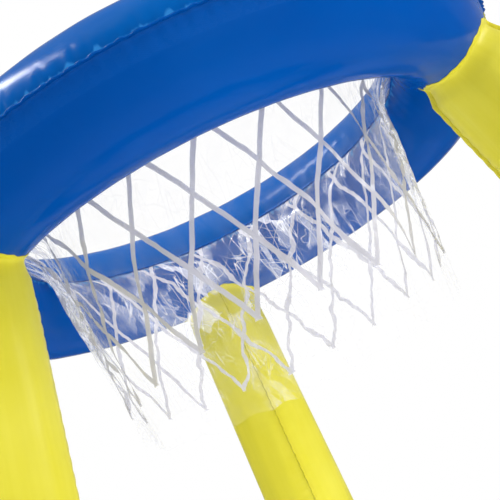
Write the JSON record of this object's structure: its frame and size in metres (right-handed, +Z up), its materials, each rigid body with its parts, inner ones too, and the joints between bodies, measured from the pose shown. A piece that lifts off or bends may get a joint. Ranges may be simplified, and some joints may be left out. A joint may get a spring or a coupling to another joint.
{
  "type": "inflatable basketball hoop",
  "caption": "Free-standing inflatable hoop: a welded blue ring with a clear printed film net, on three leaning yellow legs and a wider base ring.",
  "frame": {"origin": "on the floor under the axis of both rings", "axes": "+Z up along the axis of the rings; +Y towards the back leg"},
  "size_m": [0.672, 0.672, 0.55],
  "materials": {
    "hoop_film": "glossy welded PVC film, faint puckers along the weld",
    "base_film": "glossy welded PVC film, faint puckers along the weld",
    "leg_film": "satin welded PVC film",
    "net_film": "clear crinkled film printed with a white diamond lattice",
    "valve_body": "soft milky PVC moulding",
    "valve_plug": "soft milky PVC moulding",
    "valve_flap": "thin soft PVC disc"
  },
  "bodies": {
    "frame": {"hoop_upper_sheet": "hoop_film", "hoop_lower_sheet": "hoop_film", "base_upper_sheet": "base_film", "base_lower_sheet": "base_film", "net_film": "net_film", "back_leg_left_panel": "leg_film", "back_leg_right_panel": "leg_film", "left_leg_left_panel": "leg_film", "left_leg_right_panel": "leg_film", "right_leg_left_panel": "leg_film", "right_leg_right_panel": "leg_film", "hoop_valve_flange": "valve_body", "hoop_valve_collar": "valve_body", "base_valve_flange": "valve_body", "base_valve_collar": "valve_body", "back_leg_valve_flange": "valve_body", "back_leg_valve_collar": "valve_body", "left_leg_valve_flange": "valve_body", "left_leg_valve_collar": "valve_body", "right_leg_valve_flange": "valve_body", "right_leg_valve_collar": "valve_body"},
    "hoop_valve_stem": {"hoop_valve_stem": "valve_body"},
    "hoop_valve_plug": {"hoop_valve_plug": "valve_plug", "hoop_valve_strap": "valve_body"},
    "hoop_valve_flap": {"hoop_valve_flap": "valve_flap"},
    "base_valve_stem": {"base_valve_stem": "valve_body"},
    "base_valve_plug": {"base_valve_plug": "valve_plug", "base_valve_strap": "valve_body"},
    "base_valve_flap": {"base_valve_flap": "valve_flap"},
    "back_leg_valve_stem": {"back_leg_valve_stem": "valve_body"},
    "back_leg_valve_plug": {"back_leg_valve_plug": "valve_plug", "back_leg_valve_strap": "valve_body"},
    "back_leg_valve_flap": {"back_leg_valve_flap": "valve_flap"},
    "left_leg_valve_stem": {"left_leg_valve_stem": "valve_body"},
    "left_leg_valve_plug": {"left_leg_valve_plug": "valve_plug", "left_leg_valve_strap": "valve_body"},
    "left_leg_valve_flap": {"left_leg_valve_flap": "valve_flap"},
    "right_leg_valve_stem": {"right_leg_valve_stem": "valve_body"},
    "right_leg_valve_plug": {"right_leg_valve_plug": "valve_plug", "right_leg_valve_strap": "valve_body"},
    "right_leg_valve_flap": {"right_leg_valve_flap": "valve_flap"}
  },
  "joints": [
    {"name": "hoop_valve_push", "type": "slide", "parent": "frame", "child": "hoop_valve_stem", "axis": [0, 0.8042, 0.5944], "range_m": [-0.007, 0], "deforming": ["hoop_valve_collar"]},
    {"name": "hoop_valve_plug_swing", "type": "hinge", "parent": "hoop_valve_stem", "child": "hoop_valve_plug", "pos_m": [0, 0.22405, 0.53456], "axis": [-1, 0, 0], "range_deg": [0, 170]},
    {"name": "hoop_valve_flap_swing", "type": "hinge", "parent": "hoop_valve_stem", "child": "hoop_valve_flap", "pos_m": [0, 0.20875, 0.53793], "axis": [-1, 0, 0], "range_deg": [0, 60], "stiffness_Nm_per_rad": 0.00005},
    {"name": "base_valve_push", "type": "slide", "parent": "frame", "child": "base_valve_stem", "axis": [0, -0.6428, 0.766], "range_m": [-0.007, 0], "deforming": ["base_valve_collar"]},
    {"name": "base_valve_plug_swing", "type": "hinge", "parent": "base_valve_stem", "child": "base_valve_plug", "pos_m": [0, -0.32908, 0.07573], "axis": [1, 0, 0], "range_deg": [0, 170]},
    {"name": "base_valve_flap_swing", "type": "hinge", "parent": "base_valve_stem", "child": "base_valve_flap", "pos_m": [0, -0.31342, 0.07542], "axis": [1, 0, 0], "range_deg": [0, 60], "stiffness_Nm_per_rad": 0.00005},
    {"name": "back_leg_valve_push", "type": "slide", "parent": "frame", "child": "back_leg_valve_stem", "axis": [-0.8192, 0.5599, 0.1246], "range_m": [-0.007, 0], "deforming": ["back_leg_valve_collar"]},
    {"name": "back_leg_valve_plug_swing", "type": "hinge", "parent": "back_leg_valve_stem", "child": "back_leg_valve_plug", "pos_m": [-0.03842, 0.29932, 0.12323], "axis": [-0.5736, -0.7996, -0.178], "range_deg": [0, 170]},
    {"name": "back_leg_valve_flap_swing", "type": "hinge", "parent": "back_leg_valve_stem", "child": "back_leg_valve_flap", "pos_m": [-0.02998, 0.29099, 0.13347], "axis": [-0.5736, -0.7996, -0.178], "range_deg": [0, 60], "stiffness_Nm_per_rad": 0.00005},
    {"name": "left_leg_valve_push", "type": "slide", "parent": "frame", "child": "left_leg_valve_stem", "axis": [-0.0753, -0.9893, 0.1246], "range_m": [-0.007, 0], "deforming": ["left_leg_valve_collar"]},
    {"name": "left_leg_valve_plug_swing", "type": "hinge", "parent": "left_leg_valve_stem", "child": "left_leg_valve_plug", "pos_m": [-0.24001, -0.18293, 0.12323], "axis": [0.9792, -0.0969, -0.178], "range_deg": [0, 170]},
    {"name": "left_leg_valve_flap_swing", "type": "hinge", "parent": "left_leg_valve_stem", "child": "left_leg_valve_flap", "pos_m": [-0.23701, -0.17146, 0.13347], "axis": [0.9792, -0.0969, -0.178], "range_deg": [0, 60], "stiffness_Nm_per_rad": 0.00005},
    {"name": "right_leg_valve_push", "type": "slide", "parent": "frame", "child": "right_leg_valve_stem", "axis": [0.8944, 0.4295, 0.1246], "range_m": [-0.007, 0], "deforming": ["right_leg_valve_collar"]},
    {"name": "right_leg_valve_plug_swing", "type": "hinge", "parent": "right_leg_valve_stem", "child": "right_leg_valve_plug", "pos_m": [0.27843, -0.11639, 0.12323], "axis": [-0.4057, 0.8965, -0.178], "range_deg": [0, 170]},
    {"name": "right_leg_valve_flap_swing", "type": "hinge", "parent": "right_leg_valve_stem", "child": "right_leg_valve_flap", "pos_m": [0.267, -0.11953, 0.13347], "axis": [-0.4057, 0.8965, -0.178], "range_deg": [0, 60], "stiffness_Nm_per_rad": 0.00005}
  ]
}
